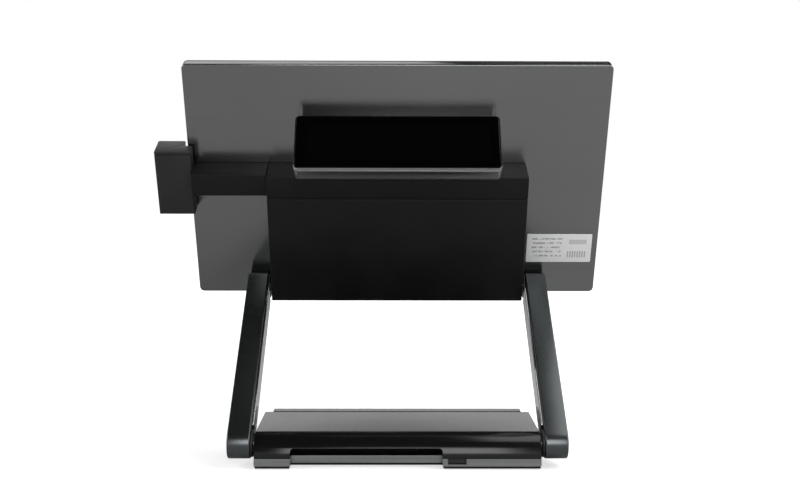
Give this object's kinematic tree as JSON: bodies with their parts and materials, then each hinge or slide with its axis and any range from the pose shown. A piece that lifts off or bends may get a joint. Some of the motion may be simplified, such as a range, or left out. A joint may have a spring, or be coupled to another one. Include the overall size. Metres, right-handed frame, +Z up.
{
  "type": "pos touchscreen terminal",
  "caption": "Countertop touchscreen sales terminal on a folding two-arm stand, with a rear housing, a side card reader and a tilting customer display.",
  "frame": {"origin": "centre of the base's flat underside, where it rests on the counter", "axes": "+Z up, +X to the right as the operator sees the touchscreen, +Y from the operator towards the customer"},
  "size_m": [0.4078, 0.1954, 0.3399],
  "materials": {
    "rubber": "matt moulded rubber",
    "strip_metal": "satin anodised, bright",
    "base_black": "satin black powder coat",
    "black_plastic": "fine-grained black",
    "black_satin": "satin black",
    "black_glass": "gloss black printed behind",
    "arm_paint": "satin slate-grey coat",
    "polished": "polished",
    "brushed_metal": "horizontally brushed gunmetal",
    "reader_grey": "fine-grained dark grey",
    "dark_metal": "satin dark grey",
    "lcd": "dark film and frame",
    "label": "white printed film",
    "steel": "zinc-bright steel",
    "aluminium": "plain extruded",
    "circuit_green": "solder-mask green"
  },
  "bodies": {
    "base": {"base_pad": "rubber", "base_tray": "strip_metal", "base_weight_plate": "steel", "base_cover": "base_black", "base_front_cover": "base_black", "base_hinge_block_left": "steel", "base_hinge_block_right": "steel", "lock_slot_insert": "black_plastic"},
    "arms": {"arm_shell_left": "arm_paint", "arm_inner_cover_left": "polished", "lower_friction_disc_left": "black_plastic", "lower_washer_left": "polished", "lower_disc_springs_left": "steel", "lower_hinge_shaft_left": "steel", "upper_friction_disc_left": "black_plastic", "upper_washer_left": "polished", "upper_disc_springs_left": "steel", "upper_hinge_shaft_left": "steel", "arm_shell_right": "arm_paint", "arm_inner_cover_right": "polished", "lower_friction_disc_right": "black_plastic", "lower_washer_right": "polished", "lower_disc_springs_right": "steel", "lower_hinge_shaft_right": "steel", "upper_friction_disc_right": "black_plastic", "upper_washer_right": "polished", "upper_disc_springs_right": "steel", "upper_hinge_shaft_right": "steel"},
    "screen": {"touch_glass": "black_glass", "lcd_module": "lcd", "screen_rear_shell": "brushed_metal", "rating_label": "label", "power_switch": "black_plastic", "housing_rail": "black_satin", "main_board": "circuit_green", "heat_sink": "aluminium", "storage_drive": "dark_metal", "speaker": "black_plastic", "io_plate": "steel", "board_carrier": "steel", "dc_inlet": "black_plastic", "serial_ports": "black_plastic", "lan_port": "steel", "usb_ports": "steel", "screen_hinge_bracket_left": "steel", "screen_hinge_bracket_right": "steel", "reader_arm": "black_satin", "reader_body": "reader_grey", "reader_cap": "reader_grey", "reader_head": "steel", "display_bracket": "black_satin", "display_hinge_pin": "steel"},
    "customer_display": {"display_case": "dark_metal", "display_bezel": "polished", "display_glass": "black_glass", "display_module": "lcd", "display_board": "circuit_green", "display_knuckle": "dark_metal"},
    "power_button": {"power_button": "black_plastic"},
    "cable_cover": {"rear_cover": "black_satin"}
  },
  "joints": [
    {"name": "arm_lift", "type": "hinge", "parent": "base", "child": "arms", "pos_m": [0, 0.0804, 0.0184], "axis": [-1, 0, 0], "range_deg": [-18, 38]},
    {"name": "screen_tilt", "type": "hinge", "parent": "arms", "child": "screen", "pos_m": [0, -0.07366, 0.13282], "axis": [-1, 0, 0], "range_deg": [-20, 45]},
    {"name": "customer_display_tilt", "type": "hinge", "parent": "screen", "child": "customer_display", "pos_m": [0, 0.00292, 0.24375], "axis": [-1, 0, 0], "range_deg": [-12, 35]},
    {"name": "power_press", "type": "slide", "parent": "screen", "child": "power_button", "axis": [0, 0.4035, 0.915], "range_m": [0, 0.0008], "stiffness_N_per_m": 1500},
    {"name": "cable_cover_slide", "type": "slide", "parent": "screen", "child": "cable_cover", "axis": [0, 0.915, -0.4035], "range_m": [0, 0.03]}
  ]
}
